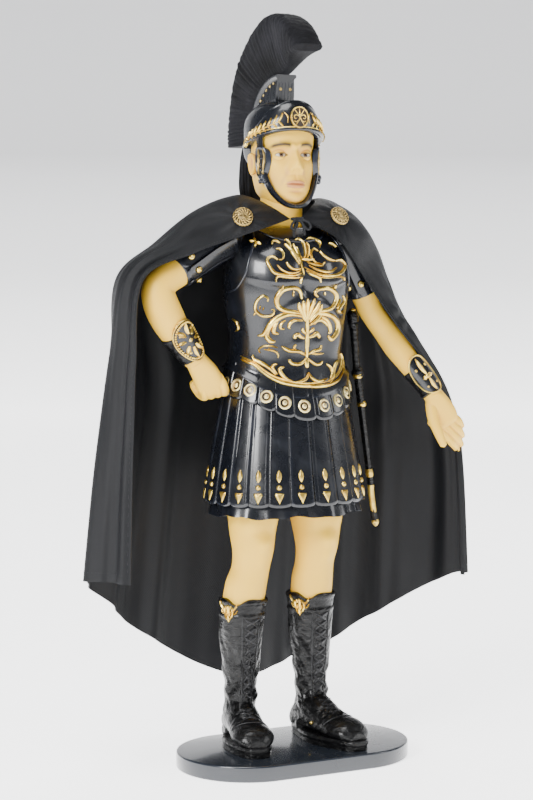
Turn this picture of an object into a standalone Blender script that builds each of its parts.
"""Roman soldier statue: a painted resin figure with a cloth cape, a crest and a sword, on a low board.

Metres, +Z up. The origin is at the middle of the board's underside. The soldier faces -Y, and his
right hand is on the -X side. The free forms are written in figure units, of which 800 make the
height from soles to crown, so STATURE alone sets the size of the figure and all that it wears.
"""
import math

import bmesh
import bpy
from mathutils import Vector

# Driving dimensions, in metres
STATURE = 0.80
BOARD_LENGTH = 0.308
BOARD_DEPTH = 0.178
BOARD_THICKNESS = 0.020
BOARD_EDGE_ROUND = 0.0025
CLEARANCE = 0.0003
CLOTH_THICKNESS = 0.0024
BROOCH_RADIUS = 0.0125
BROOCH_THICKNESS = 0.004

# Figure units
UNIT = STATURE / 800
SKIRT_STRIPS = 22
SKIRT_LEAD = 0.5
TAB_COUNT = 21
SLEEVE_STRIPS = 8
STRIP_RELIEF = 2.4
STRIP_EDGE = 0.12
DISC_RADIUS = 8.6
DISC_THICKNESS = 3.0
SOLE_HEIGHT = 11
COMB_HALF_WIDTH = 11
COMB_CENTRE_Y = 32
COMB_CENTRE_Z = 757
COMB_STEPS = 8
CAPE_ROWS = 12
CAPE_COLUMNS = 29
CAPE_FOLDS = 8
CAPE_FOLD_DEPTH = 5.5
TURN = 2 * math.pi


def at(x, y, z):
    """A point in figure units, measured from the top of the board, as a place in metres."""
    return Vector((x * UNIT, y * UNIT, BOARD_THICKNESS + CLEARANCE + z * UNIT))


def material(name, colour, roughness, metallic=0.0):
    made = bpy.data.materials.new(name)
    made.use_nodes = True
    shader = made.node_tree.nodes["Principled BSDF"]
    shader.inputs["Base Color"].default_value = (*colour, 1)
    shader.inputs["Roughness"].default_value = roughness
    shader.inputs["Metallic"].default_value = metallic
    made.diffuse_color = (*colour, 1)
    return made


def new_object(name, bm, finish, smooth=35):
    bmesh.ops.recalc_face_normals(bm, faces=bm.faces)
    mesh = bpy.data.meshes.new(name)
    bm.to_mesh(mesh)
    bm.free()
    mesh.materials.append(finish)
    mesh.shade_smooth()
    mesh.set_sharp_from_angle(angle=math.radians(smooth))
    made = bpy.data.objects.new(name, mesh)
    bpy.context.scene.collection.objects.link(made)
    return made


def bridge(bm, rings, capped=True):
    """Joins rings of points, each as long as the next, into one skin, and caps both ends."""
    loops = [[bm.verts.new(p) for p in ring] for ring in rings]
    count = len(loops[0])
    for low, high in zip(loops, loops[1:]):
        for i in range(count):
            j = (i + 1) % count
            bm.faces.new((low[i], low[j], high[j], high[i]))
    if capped:
        bm.faces.new(loops[0][::-1])
        bm.faces.new(loops[-1])


def ring_solid(name, rings, finish, smooth=35):
    bm = bmesh.new()
    bridge(bm, rings)
    return new_object(name, bm, finish, smooth)


def oval(angle, power):
    """A point of the unit superellipse."""
    c, s = math.cos(angle), math.sin(angle)
    fold = 2 / power
    return math.copysign(abs(c) ** fold, c), math.copysign(abs(s) ** fold, s)


def even_angles(count):
    return [TURN * k / count for k in range(count)]


def strip_angles(count, lead=0.0):
    """Two angles for each strip: the foot and the top of the step where it laps over the next."""
    return [TURN * (k + part + lead) / count for k in range(count) for part in (0, STRIP_EDGE)]


def strip_push(angle, count, relief=STRIP_RELIEF, lead=0.0):
    """Each strip's free edge stands relief proud of the strip that it laps."""
    part = (angle * count / TURN - lead) % 1
    return relief if STRIP_EDGE / 2 < part < 0.5 else 0


def limb_rings(stations, angles, across=(1, 0, 0), power=2.0, push=None):
    """Rings square to a path. A station is x, y, z, half width across, half depth."""
    places = [at(*s[:3]) for s in stations]
    rings = []
    for i, station in enumerate(stations):
        run = (places[min(i + 1, len(places) - 1)] - places[max(i - 1, 0)]).normalized()
        side = (Vector(across) - run * run.dot(Vector(across))).normalized()
        fore = run.cross(side)
        ring = []
        for angle in angles:
            u, v = oval(angle, power)
            extra = push(angle) if push else 0
            ring.append(places[i] + (side * u * (station[3] + extra) + fore * v * (station[4] + extra)) * UNIT)
        rings.append(ring)
    return rings


def limb(name, stations, sides, finish, across=(1, 0, 0), power=2.0):
    return ring_solid(name, limb_rings(stations, even_angles(sides), across, power), finish)


def level_ring(station, angles, power=2.3, shape=None):
    """A level ring. A station is z, middle x, middle y, half width, depth to the front, depth to the
    rear. shape(angle) gives an outward push and a rise."""
    z, x, y, half, front, rear = station
    ring = []
    for angle in angles:
        u, v = oval(angle, power)
        push, rise = shape(angle) if shape else (0, 0)
        depth = rear if v > 0 else front
        ring.append(at(x + u * (half + push), y + v * (depth + push), z + rise))
    return ring


def frontness(angle):
    """1 at the middle of the front, 0 at the sides and the back."""
    return max(0.0, -math.sin(angle)) ** 1.5


def rearness(angle):
    return max(0.0, math.sin(angle)) ** 1.5


def mirrored(stations):
    return [(-s[0], *s[1:]) for s in stations]


# Torso, skirt and sleeves

# Each row is z, middle x, middle y, half width, depth to the front, depth to the rear.
CUIRASS = [
    (484, 3, 28, 75, 56, 53),
    (497, 3, 28, 73, 54, 51),
    (517, 3, 26, 74, 53, 49),
    (545, 2, 25, 78, 56, 52),
    (570, 1, 24, 81, 60, 55),
    (595, 1, 24, 81, 60, 56),
    (618, 1, 25, 77, 54, 54),
    (636, 0, 27, 68, 43, 48),
    (650, 0, 30, 52, 28, 38),
]
CUIRASS_DIP = 36
TABS = [(443, 3, 29, 84, 68, 60), (498, 3, 28, 71, 51, 49)]
TAB_DIP = 28
DISC_RISE = 15
SKIRT = [(309, 2, 30, 102, 84, 76), (360, 2, 30, 94, 74, 68), (470, 3, 29, 74, 53, 50)]
TUNIC = [(295, 2, 30, 99, 81, 73), (320, 2, 30, 94, 76, 69)]


def cuirass(finish):
    def shape_at(share):
        def shape(angle):
            chest = 6 * frontness(angle) * math.exp(-(((share - 0.68) / 0.16) ** 2))
            cleft = -5 * math.exp(-(((angle - 1.5 * math.pi) / 0.16) ** 2)) * chest / 6
            return chest + cleft, -CUIRASS_DIP * frontness(angle) * max(0, 1 - 3.6 * share)
        return shape

    last = len(CUIRASS) - 1
    rings = [level_ring(s, even_angles(26), 2.3, shape_at(i / last)) for i, s in enumerate(CUIRASS)]
    return ring_solid("cuirass", rings, finish)


def tab_dip(angle):
    """The tabs hang lowest a little to the left of the middle, as the hip drops there."""
    return TAB_DIP * max(0.0, -math.sin(angle - math.radians(5))) ** 2.5


def hanging_strips(name, stations, count, finish, lead=0.0, dip=None, rounding=4):
    """A skirt of strips that lap one another, each with a rounded lower end."""
    def shape_at(is_hem):
        def shape(angle):
            push = strip_push(angle, count, STRIP_RELIEF, lead)
            rise = rounding if is_hem and not push else 0
            return push, rise - (dip(angle) if dip else 0)
        return shape

    rings = [level_ring(s, strip_angles(count, lead), 2.2, shape_at(i == 0)) for i, s in enumerate(stations)]
    return ring_solid(name, rings, finish)


def tunic_hem(finish):
    def wave(angle):
        return 1.6 * math.sin(5 * angle), 1.2 * math.cos(5 * angle)

    rings = [level_ring(s, even_angles(22), 2.2, wave) for s in TUNIC]
    return ring_solid("tunic", rings, finish)


def disc(name, angle, finish):
    """A round stud on the tab row, facing outward."""
    share = DISC_RISE / (TABS[1][0] - TABS[0][0])
    z, x, y, half, front, rear = (low + (high - low) * share for low, high in zip(*TABS))
    u, v = oval(angle, 2.2)
    depth = rear if v > 0 else front
    reach = 0.7 * STRIP_RELIEF
    middle = at(x + u * (half + reach), y + v * (depth + reach), z - tab_dip(angle))
    outward = Vector((u / half, v / depth, 0)).normalized()
    level = Vector((0, 0, 1)).cross(outward)
    rings = []
    for share, radius in ((-1.0, DISC_RADIUS), (1.0, 0.9 * DISC_RADIUS)):
        rings.append([
            middle + outward * share * DISC_THICKNESS * UNIT
            + (level * math.cos(a) + Vector((0, 0, 1)) * math.sin(a)) * radius * UNIT
            for a in even_angles(7)
        ])
    return ring_solid(name, rings, finish)


# Arms and hands: x, y, z, half width across, half depth

RIGHT_ARM = [
    (-68, 30, 638, 20, 23), (-82, 29, 638, 23, 26), (-106, 26, 626, 22, 24), (-130, 22, 611, 20.5, 22),
    (-152, 18, 597, 19, 20), (-169, 15, 587, 19, 19.5), (-178, 14, 576, 20, 20), (-176, 14, 561, 21.5, 21),
    (-165, 15, 539, 21.5, 21), (-147, 17.5, 513, 18, 18), (-126, 20, 488, 14.5, 14),
]
RIGHT_FIST = [
    (-129, 19, 493, 12, 11), (-121, 20, 482, 14, 13), (-112, 22, 470, 17.5, 14), (-104, 25, 458, 20, 15),
    (-100, 27, 449, 19, 14), (-97, 29, 442, 14, 9),
]
LEFT_ARM = [
    (62, 30, 636, 20, 22), (77, 29, 636, 23, 25), (93, 30, 619, 22, 24), (106, 32, 594, 19, 21),
    (119, 33, 567, 16.5, 17.5), (130, 34, 545, 14.5, 16), (149, 33, 520, 14.8, 16), (163, 29, 501, 16.5, 17),
    (178, 20, 478, 15.2, 15.5), (196, 8, 451, 14, 13.5), (206, 1, 433, 13, 12.5),
]
LEFT_PALM = [
    (205, 1, 436, 12, 11), (211, 1.5, 425, 15.5, 11), (218, 3, 412, 19, 10.5), (224, 5, 401, 19, 9.5),
    (227, 6, 396, 16, 7),
]
PALM_ACROSS = (0.535, -0.272, 0.8)
PALM_RUN = (0.779, 0.164, -0.58)
FINGER_CURL = (0.55, 0.7, -0.35)
FINGER_OFFSETS = (-14, -4.7, 4.7, 13)
FINGER_LENGTHS = (27, 29, 27, 22)
FINGER_STEPS = ((-0.1, 0, 0.95), (0.6, 0.0, 1), (0.9, 0.3, 0.95), (1, 0.62, 0.5))
FINGER_RADIUS = 5.4
LEFT_THUMB = [
    (203, 3, 420, 8, 8), (204, 0, 403, 7.5, 7.5), (209, -3, 388, 6.4, 6.4), (215, -4, 377, 4.2, 4.2),
]
SLEEVE_REACH = {"right": (RIGHT_ARM[1:4], 3.5), "left": (LEFT_ARM[1:5], 3.5)}


def sleeve(side, finish):
    """Short strips round the top of the arm."""
    stations, gap = SLEEVE_REACH[side]
    grown = [(*s[:3], s[3] + gap, s[4] + gap) for s in stations]
    rings = limb_rings(grown, strip_angles(SLEEVE_STRIPS), (0, 1, 0), 2.0,
                       lambda angle: strip_push(angle, SLEEVE_STRIPS, 1.6))
    return ring_solid(side + "_sleeve", rings, finish)


def left_finger(offset, length):
    """Stations of one finger: it runs on from the knuckle and curls away at its tip."""
    root = Vector(LEFT_PALM[3][:3]) + Vector(PALM_ACROSS) * offset
    stations = []
    for share, curl, size in FINGER_STEPS:
        place = root + (Vector(PALM_RUN) * share + Vector(FINGER_CURL) * curl) * length
        stations.append((*place, FINGER_RADIUS * size, FINGER_RADIUS * size))
    return stations


def bracer_plate(name, centre, along, outward, half_length, half_width, finish):
    """The oval plate of a wrist guard, domed, with a raised rim."""
    along = Vector(along).normalized()
    outward = (Vector(outward) - along * along.dot(Vector(outward))).normalized()
    across = along.cross(outward)
    rings = []
    for grow, rise in ((0.96, -6), (1.0, 0.5), (0.9, 2.2), (0.82, 1.2), (0.35, 3.2)):
        ring = []
        for a in even_angles(14):
            u, v = half_length * grow * math.cos(a), half_width * grow * math.sin(a)
            bend = -0.022 * v * v
            ring.append(at(*centre) + (along * u + across * v + outward * (rise + bend)) * UNIT)
        rings.append(ring)
    return ring_solid(name, rings, finish)


# Legs and boots

RIGHT_LEG = [
    (-42, 32, 412, 38, 38), (-42, 31, 350, 36, 37), (-42, 30, 300, 32.5, 35), (-44, 27, 268, 28.5, 31),
    (-45, 24, 246, 25.5, 28), (-47, 26, 226, 24, 25.5), (-51, 30, 206, 26, 27), (-54, 34, 180, 26, 28),
]
LEFT_LEG = [
    (44, 32, 412, 38, 38), (45, 31, 350, 37, 37), (47, 30, 300, 35, 36), (47, 27, 268, 30, 32),
    (46, 24, 246, 26.5, 28.5), (44, 26, 226, 24.5, 26), (43, 30, 206, 26, 27), (43, 34, 180, 26, 28),
]
# Shaft rows: z, middle x, middle y, half width, depth to the front, depth to the rear.
RIGHT_SHAFT = [
    (8, -53, 47, 21, 24, 25), (45, -53, 45, 20, 23, 22), (72, -53, 42, 20.5, 22, 23),
    (105, -54, 39, 23.5, 24, 27), (145, -55, 36, 27, 27, 30), (185, -54, 33, 30, 30, 31),
]
LEFT_SHAFT = [
    (8, 43, 35, 21, 24, 25), (45, 44, 34, 20, 23, 22), (72, 44, 35, 20.5, 22, 23),
    (105, 44, 35, 23.5, 24, 27), (145, 43, 34, 27, 27, 30), (186, 42, 33, 30, 30, 31),
]
# Foot rows: share of the length from the heel, half width, top height.
FOOT = [
    (0.02, 13, 30), (0.08, 19, 44), (0.25, 22, 58), (0.42, 22.5, 54), (0.55, 23.5, 43),
    (0.70, 26, 34), (0.82, 26, 30), (0.92, 21, 26), (0.985, 11, 19),
]
RIGHT_FOOT = ((-48, 73), (-74, -49))
LEFT_FOOT = ((37, 61), (57, -71))


def boot_shaft(name, stations, finish):
    def cuff(station):
        def shape(angle):
            lift = 5 * (math.cos(angle + math.pi / 2) ** 2) if station is stations[-1] else 0
            return 0, lift
        return shape

    rings = [level_ring(s, even_angles(14), 2.1, cuff(s)) for s in stations]
    return ring_solid(name, rings, finish)


def foot_frame(foot):
    heel, toe = Vector((*foot[0], 0)), Vector((*foot[1], 0))
    along = (toe - heel).normalized()
    return heel, along, Vector((0, 0, 1)).cross(along), (toe - heel).length


def boot_foot(name, foot, finish):
    heel, along, across, length = foot_frame(foot)
    rings = []
    for share, half, top in FOOT:
        ring = []
        for a in even_angles(10):
            u, v = oval(a, 2.4)
            height = SOLE_HEIGHT - 3 + (top - SOLE_HEIGHT + 3) * (v + 1) / 2
            narrow = 1 - 0.25 * max(0, v)
            ring.append(at(*(heel + along * share * length + across * u * half * narrow)[:2], height))
        rings.append(ring)
    return ring_solid(name, rings, finish)


def boot_sole(name, foot, finish):
    """A thick welted sole, waisted before the heel."""
    heel, along, across, length = foot_frame(foot)

    def outline(grow, height):
        ring = []
        for a in even_angles(18):
            share = 0.5 - 0.53 * math.cos(a)
            half = 24 + 4.5 * math.sin((share - 0.35) * 4.2) - 2.5 * math.cos(share * TURN * 1.2)
            reach = abs(math.sin(a)) ** 0.62 * math.copysign(1, math.sin(a))
            ring.append(at(*(heel + along * share * length + across * reach * half * grow)[:2], height))
        return ring

    rows = ((0.94, 0), (0.97, SOLE_HEIGHT * 0.5), (1.03, SOLE_HEIGHT * 0.65), (1.0, SOLE_HEIGHT + 2))
    return ring_solid(name, [outline(*row) for row in rows], finish)


# Head and helmet

NECK = [(0, 34, 630, 40, 34), (0, 35, 655, 28, 28), (0, 34, 672, 26, 26), (0, 33, 700, 26, 27)]
# Face rows: z, middle x, middle y, half width, depth to the front, depth to the rear.
FACE = [
    (679, 0, 26, 11, 33, 8), (684, 0, 28, 20, 40, 26), (694, 0, 30, 28, 43.5, 38), (708, 0, 30, 32, 43, 45),
    (722, 0, 30, 34.5, 42, 49), (736, 0, 30, 36, 41, 50), (746, 0, 30, 36, 38.5, 50), (756, 0, 30, 37, 42.5, 50),
    (775, 0, 30, 38, 42, 50),
]
NOSE = [(0, -6, 757, 3, 5), (0, -10, 744, 3.6, 6), (0, -14, 730, 5.5, 7.5), (0, -13, 722, 7, 7), (0, -9, 718, 5, 4)]
MOUTH = [(-13, -9, 708, 2, 2), (-6, -14, 709, 3.2, 3), (6, -14, 709, 3.2, 3), (13, -9, 708, 2, 2)]
CHIN = [(-9, -10, 690, 5, 6), (0, -12, 690, 7, 8), (9, -10, 690, 5, 6)]
BROW = [(-29, 0, 753, 3, 3), (-17, -10, 756, 3.6, 3.6), (0, -11.5, 754, 3, 3), (17, -10, 756, 3.6, 3.6), (29, 0, 753, 3, 3)]
EAR = [(34, 37, 722, 3, 3), (38, 38, 728, 3.5, 6), (39.5, 40, 738, 3.5, 9), (39, 41, 748, 3, 7)]
DOME = [
    (757, 0, 32, 44, 48, 56), (771, 0, 32, 45.5, 50, 57), (786, 0, 32, 43, 47, 54), (798, 0, 32, 34.5, 38, 44),
    (805, 0, 32, 22, 24, 28), (808, 0, 32, 7, 8, 9),
]
NECK_GUARD_DROP = 24
CHEEK_STRAP = [
    (41, 14, 762, 13, 3), (40, 13, 745, 12, 3), (38.5, 11, 727, 10, 3), (35.5, 6, 708, 7, 3),
    (27.5, -3, 691, 5, 2.8), (14.5, -10.5, 680, 4, 2.8), (0, -13, 676.5, 4, 2.8),
]
DIADEM_REACH = math.radians(104)
DIADEM_STEPS = 16


def dome(finish):
    def rim(angle):
        return 0, 12 * frontness(angle) - NECK_GUARD_DROP * rearness(angle)

    rings = [level_ring(s, even_angles(18), 2.1, rim if i == 0 else None) for i, s in enumerate(DOME)]
    return ring_solid("dome", rings, finish)


def diadem(finish):
    """The tall brow band: highest over the forehead, running out at the ears."""
    rings = []
    for k in range(DIADEM_STEPS + 1):
        turn = DIADEM_REACH * (2 * k / DIADEM_STEPS - 1)
        fade = math.cos(turn * 0.5 * math.pi / DIADEM_REACH)
        low = 750 + 20 * fade
        high = 756 + 51 * fade ** 1.1
        out = 3 + 3.5 * fade

        def place(radius_x, radius_y, z):
            return at(math.sin(turn) * radius_x, COMB_CENTRE_Y - math.cos(turn) * radius_y, z)

        rings.append([
            place(41, 45, low + 2), place(45.5 + out, 50 + out, low),
            place(44 + out, 48.5 + out, 0.5 * (low + high)), place(40 + out, 43 + out, high), place(34, 36, high - 6),
        ])
    return ring_solid("diadem", rings, finish)


def medallion(finish):
    rings = []
    for grow, y in ((1.0, -12), (1.0, -24.5), (0.8, -26.5)):
        rings.append([at(10.5 * grow * math.cos(a), y, 789 + 14.5 * grow * math.sin(a)) for a in even_angles(12)])
    return ring_solid("medallion", rings, finish)


def comb_reach(turn):
    """The comb's outer edge, as a distance from its centre, tall in front and low behind."""
    return 62 + 22 * (turn / math.radians(98)) ** 1.2 if turn > 0 else 62


def comb_turn(k):
    return math.radians(-8 + 106 * k / COMB_STEPS)


def comb_point(turn, reach, x):
    return at(x, COMB_CENTRE_Y + math.cos(turn) * reach, COMB_CENTRE_Z + math.sin(turn) * reach)


def comb(finish):
    """The box that holds the crest, over the dome from front to rear."""
    rings = []
    for k in range(COMB_STEPS + 1):
        turn = comb_turn(k)
        reach = comb_reach(turn)
        rings.append([
            comb_point(turn, 40, -COMB_HALF_WIDTH - 3), comb_point(turn, 40, COMB_HALF_WIDTH + 3),
            comb_point(turn, reach - 5, COMB_HALF_WIDTH), comb_point(turn, reach - 5, COMB_HALF_WIDTH + 3),
            comb_point(turn, reach, COMB_HALF_WIDTH + 3), comb_point(turn, reach, -COMB_HALF_WIDTH - 3),
            comb_point(turn, reach - 5, -COMB_HALF_WIDTH - 3), comb_point(turn, reach - 5, -COMB_HALF_WIDTH),
        ])
    return ring_solid("comb", rings, finish)


def joined(name, parts, finish):
    """One solid from parts that overlap, in place of them."""
    made = parts[0]
    made.name = name
    made.data.name = name
    rest = bpy.data.collections.new(name + "_parts")
    bpy.context.scene.collection.children.link(rest)
    for part in parts[1:]:
        for home in part.users_collection:
            home.objects.unlink(part)
        rest.objects.link(part)
        part.hide_render = True
        part.display_type = "WIRE"
    union = made.modifiers.new("union", "BOOLEAN")
    union.operation = "UNION"
    union.operand_type = "COLLECTION"
    union.collection = rest
    union.solver = "EXACT"
    made.data.materials.clear()
    made.data.materials.append(finish)
    return made


def figure(resin):
    parts = [cuirass(resin)]
    parts.append(hanging_strips("tabs", TABS, TAB_COUNT, resin, 0.0, tab_dip, 3))
    parts.append(hanging_strips("skirt", SKIRT, SKIRT_STRIPS, resin, SKIRT_LEAD))
    parts.append(tunic_hem(resin))
    for k in range(TAB_COUNT):
        parts.append(disc(f"disc_{k}", TURN * (k + 0.5) / TAB_COUNT, resin))
    for side, leg, shaft, foot in (("right", RIGHT_LEG, RIGHT_SHAFT, RIGHT_FOOT), ("left", LEFT_LEG, LEFT_SHAFT, LEFT_FOOT)):
        parts.append(limb(side + "_leg", leg, 12, resin))
        parts.append(boot_shaft(side + "_shaft", shaft, resin))
        parts.append(boot_foot(side + "_foot", foot, resin))
        parts.append(boot_sole(side + "_sole", foot, resin))
    parts.append(limb("right_arm", RIGHT_ARM, 10, resin, (0, 1, 0)))
    parts.append(limb("left_arm", LEFT_ARM, 10, resin, (0, 1, 0)))
    parts.append(limb("right_fist", RIGHT_FIST, 10, resin, (0.5, 0.3, 0.6), 2.6))
    parts.append(limb("left_palm", LEFT_PALM, 10, resin, PALM_ACROSS, 2.6))
    for k, (offset, length) in enumerate(zip(FINGER_OFFSETS, FINGER_LENGTHS)):
        parts.append(limb(f"finger_{k}", left_finger(offset, length), 6, resin, PALM_ACROSS))
    parts.append(limb("left_thumb", LEFT_THUMB, 6, resin, PALM_ACROSS))
    parts.append(sleeve("right", resin))
    parts.append(sleeve("left", resin))
    parts.append(bracer_plate("right_bracer", (-142, 3, 508), (42, 4, -56), (0, -1, -0.1), 29, 16.5, resin))
    parts.append(bracer_plate("left_bracer", (190, 0, 460), (27, -20, -44), (-0.05, -1, 0.1), 26, 16, resin))
    parts.append(limb("neck", NECK, 14, resin))
    parts.append(ring_solid("face", [level_ring(s, even_angles(14), 2.2) for s in FACE], resin))
    parts.append(limb("nose", NOSE, 6, resin))
    parts.append(limb("mouth", MOUTH, 6, resin, (0, 1, 0)))
    parts.append(limb("chin", CHIN, 6, resin, (0, 1, 0)))
    parts.append(limb("brow", BROW, 6, resin, (0, 1, 0)))
    for side, flip in (("left", lambda s: s), ("right", mirrored)):
        parts.append(limb(side + "_ear", flip(EAR), 6, resin))
        parts.append(limb(side + "_cheek_strap", flip(CHEEK_STRAP), 6, resin, (0, 1, 0), 3))
    parts.append(dome(resin))
    parts.append(diadem(resin))
    parts.append(medallion(resin))
    parts.append(comb(resin))
    return joined("figure", parts, resin)


# Crest: each row is the inner edge y, z, the outer edge y, z, the inner and outer half widths.

PLUME_TIP = [
    ((2, 849), (8, 908), 13, 26), ((-12, 858), (-18, 895), 18, 25), ((-30, 866), (-34, 874), 21, 22),
]
PLUME_OUTER = [(151, 744), (151, 765), (147, 798), (134, 838), (109, 873), (74, 900), (42, 911)]
PLUME_TAIL = [(0, 104, 756, 18, 8), (0, 103, 735, 23, 8.5), (0, 101, 705, 24, 8.5), (0, 100, 682, 23, 8), (0, 99, 668, 19, 5)]


def smooth_through(points, share):
    """A Catmull-Rom curve through the points, read at a share of its way."""
    spans = len(points) - 1
    place = min(share * spans, spans - 1e-9)
    i = int(place)
    t = place - i
    a, b, c, d = (points[min(max(j, 0), spans)] for j in (i - 1, i, i + 1, i + 2))
    return 0.5 * ((2 * b) + (c - a) * t + (2 * a - 5 * b + 4 * c - d) * t ** 2 + (3 * b - a - 3 * c + d) * t ** 3)


def crest(finish):
    """The brush that fills the comb and curls forward, with the tail that hangs behind the neck."""
    rows = []
    guide = [Vector(p) for p in PLUME_OUTER]
    for k in range(COMB_STEPS + 1):
        turn = comb_turn(k)
        reach = comb_reach(turn) + 1.2 * CLEARANCE / UNIT
        inner = (COMB_CENTRE_Y + math.cos(turn) * reach, COMB_CENTRE_Z + math.sin(turn) * reach)
        rows.append((inner, smooth_through(guide, k / COMB_STEPS), COMB_HALF_WIDTH, 25))
    rows += PLUME_TIP
    rings = []
    for (iy, iz), (oy, oz), thin, wide in rows:
        waist = 0.8 * thin + 0.2 * wide
        my, mz = 0.55 * iy + 0.45 * oy, 0.55 * iz + 0.45 * oz
        crown = Vector((0, oy - iy, oz - iz)).normalized() * 3
        rings.append([
            at(-thin, iy, iz), at(thin, iy, iz), at(waist, my, mz), at(wide, oy, oz),
            at(0, oy + crown.y, oz + crown.z), at(-wide, oy, oz), at(-waist, my, mz),
        ])
    plume = ring_solid("crest", rings, finish)
    tail = limb("tail", PLUME_TAIL, 10, finish, (1, 0, 0), 2.6)
    return joined("crest", [plume, tail], finish)


# Cape: each row runs round the body from the right front edge to the left front edge.

CAPE = [
    [(-10, -8, 661), (-28, -2, 673), (-41, 18, 684), (-36, 48, 684), (0, 72, 676), (36, 48, 684), (39, 18, 684), (22, -2, 675), (4, -8, 661)],
    [(-50, -27, 651), (-70, -2, 680), (-64, 36, 690), (-40, 78, 676), (0, 90, 662), (40, 78, 674), (62, 36, 686), (62, -4, 672), (46, -26, 638)],
    [(-100, -17, 634), (-122, 0, 658), (-120, 34, 670), (-80, 90, 644), (0, 100, 632), (78, 90, 640), (103, 38, 662), (99, 0, 648), (73, -19, 612)],
    [(-142, -13, 619), (-166, -4, 632), (-172, 38, 630), (-112, 97, 596), (0, 108, 585), (98, 98, 586), (136, 62, 616), (134, 22, 620), (101, -7, 582)],
    [(-208, -10, 587), (-220, 8, 592), (-220, 46, 584), (-140, 110, 540), (0, 118, 530), (108, 110, 530), (162, 80, 554), (172, 34, 552), (152, -1, 522)],
    [(-217, -8, 490), (-230, 24, 498), (-211, 78, 480), (-124, 130, 448), (0, 136, 440), (112, 130, 440), (198, 94, 452), (231, 42, 462), (213, 16, 463)],
    [(-219, -6, 415), (-238, 28, 418), (-220, 86, 402), (-125, 141, 366), (0, 148, 352), (111, 142, 364), (206, 99, 388), (256, 54, 396), (252, 27, 398)],
    [(-221, -4, 335), (-247, 30, 338), (-226, 92, 325), (-126, 152, 280), (0, 162, 262), (110, 155, 283), (213, 103, 322), (264, 50, 326), (258, 22, 326)],
    [(-222, 0, 195), (-258, 32, 226), (-235, 102, 206), (-132, 168, 124), (0, 182, 56), (110, 175, 76), (217, 115, 148), (268, 52, 190), (268, 23, 192)],
]


def cape_place(across, down):
    column = [smooth_through([Vector(p) for p in row], across) for row in CAPE]
    return smooth_through(column, down)


def cape_outward(across, down):
    beside = cape_place(across, min(down + 0.02, 1)) - cape_place(across, max(down - 0.02, 0))
    run = cape_place(min(across + 0.02, 1), down) - cape_place(max(across - 0.02, 0), down)
    return run.cross(beside).normalized()


def cape_point(across, down):
    """The cape's surface: across from the right front edge to the left, down from collar to hem."""
    swell = math.sin(TURN * CAPE_FOLDS * across + 1.1 * math.sin(3 * TURN * across)) * CAPE_FOLD_DEPTH
    inset = min(1, across / 0.12, (1 - across) / 0.08)
    hang = max(0, (down - 0.35) / 0.65) ** 0.8
    return at(*(cape_place(across, down) + cape_outward(across, down) * swell * inset * hang))


def cape(finish):
    bm = bmesh.new()
    grid = [
        [bm.verts.new(cape_point(c / CAPE_COLUMNS, r / CAPE_ROWS)) for c in range(CAPE_COLUMNS + 1)]
        for r in range(CAPE_ROWS + 1)
    ]
    for r in range(CAPE_ROWS):
        for c in range(CAPE_COLUMNS):
            bm.faces.new((grid[r][c], grid[r][c + 1], grid[r + 1][c + 1], grid[r + 1][c]))
    mesh = bpy.data.meshes.new("cape")
    bm.to_mesh(mesh)
    bm.free()
    mesh.materials.append(finish)
    mesh.shade_smooth()
    made = bpy.data.objects.new("cape", mesh)
    bpy.context.scene.collection.objects.link(made)
    wall = made.modifiers.new("cloth", "SOLIDIFY")
    wall.thickness = CLOTH_THICKNESS
    wall.offset = 0
    return made


# Board, brooches, tie and sword

# Each brooch sits at a share of the cape's width and of its drop.
BROOCHES = {"right": (0.07, 0.165), "left": (0.91, 0.12)}
BROOCH_STAND = 0.0016
TIE = [
    [(-6.5, -11, 661, 1.6, 1.6), (-3, -14, 660, 2.8, 2.8), (0.5, -11, 661, 1.6, 1.6)],
    [(-3.6, -14, 660, 1.4, 1.4), (-7, -17, 653, 1.4, 1.4), (-9, -19, 645, 1.4, 1.4)],
    [(-2.4, -14, 660, 1.4, 1.4), (-0.5, -17, 653, 1.4, 1.4), (-0.5, -20, 644, 1.4, 1.4)],
]
SWORD = [
    (103, 34, 545, 4, 4), (103, 34, 541, 7, 7), (104, 34, 530, 7, 7), (105, 34, 523, 5, 5), (109, 34, 474, 4.6, 4.6),
    (110, 34, 468, 9, 6), (110.5, 34, 464, 9, 6), (111, 34, 460, 5.5, 5), (116, 35, 428, 5.4, 4.6),
    (130, 37, 335, 4.4, 3.6), (131, 37, 333, 5, 4.2), (135, 38, 300, 3.4, 3.2), (140, 38, 272, 4.4, 4.2),
    (141, 38, 266, 2, 2),
]


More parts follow.
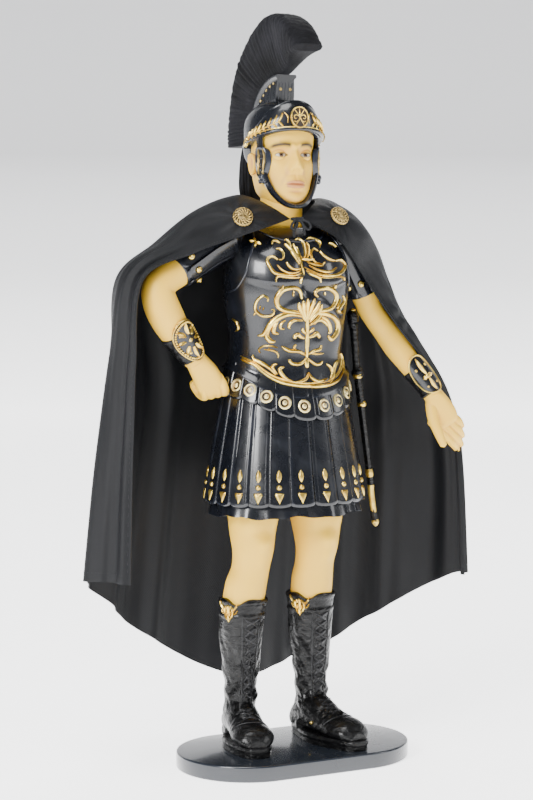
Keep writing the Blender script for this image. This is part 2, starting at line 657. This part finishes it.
def board(finish):
    bm = bmesh.new()
    half = BOARD_DEPTH / 2
    straight = BOARD_LENGTH / 2 - half
    outline = []
    for k in range(33):
        a = math.pi * (k / 16 - 0.5)
        shift = straight if k <= 16 else -straight
        outline.append(bm.verts.new((shift + half * math.cos(a), half * math.sin(a), 0)))
        if k == 16:
            outline.append(bm.verts.new((-straight, half, 0)))
    face = bm.faces.new(outline[:-1] + [outline[-1]])
    top = bmesh.ops.extrude_face_region(bm, geom=[face])
    bmesh.ops.translate(bm, verts=[v for v in top["geom"] if isinstance(v, bmesh.types.BMVert)], vec=(0, 0, BOARD_THICKNESS))
    made = new_object("board", bm, finish)
    edge = made.modifiers.new("eased edge", "BEVEL")
    edge.width = BOARD_EDGE_ROUND
    edge.segments = 1
    edge.limit_method = "ANGLE"
    edge.angle_limit = math.radians(60)
    return made


def brooch(side, finish):
    """A round fastener with a domed boss, on the front of the cape."""
    across, down = BROOCHES[side]
    outward = cape_outward(across, down)
    place = at(*cape_place(across, down)) + outward * (CLOTH_THICKNESS / 2 + BROOCH_STAND)
    level = Vector((0, 0, 1)).cross(outward).normalized()
    upward = outward.cross(level)
    rings = []
    for share, rise in ((0.94, 0), (1, 0.4), (0.9, 0.9), (0.74, 0.7), (0.5, 1.5), (0.2, 1.8)):
        rings.append([
            place + outward * rise * BROOCH_THICKNESS
            + (level * math.cos(a) + upward * math.sin(a)) * share * BROOCH_RADIUS
            for a in even_angles(12)
        ])
    return ring_solid(side + "_brooch", rings, finish)


def cape_tie(finish):
    """The knotted cord that closes the cape at the throat, with its two ends."""
    parts = [limb(f"tie_{k}", stations, 6, finish, (0, 1, 0)) for k, stations in enumerate(TIE)]
    return joined("cape_tie", parts, finish)


def sword(finish):
    return limb("sword", SWORD, 6, finish, (0, 1, 0), 2.2)


def main():
    for old in list(bpy.data.objects):
        bpy.data.objects.remove(old)
    resin = material("painted_resin", (0.035, 0.035, 0.04), 0.3)
    cloth = material("black_cloth", (0.02, 0.02, 0.024), 0.55)
    hair = material("black_bristle", (0.012, 0.012, 0.014), 0.8)
    gilt = material("gilt", (0.72, 0.5, 0.2), 0.35, 0.8)
    scabbard = material("black_leather", (0.02, 0.02, 0.022), 0.4)
    lacquer = material("black_lacquer", (0.03, 0.033, 0.04), 0.35)
    board(lacquer)
    figure(resin)
    crest(hair)
    cape(cloth)
    for side in BROOCHES:
        brooch(side, gilt)
    cape_tie(cloth)
    sword(scabbard)


main()
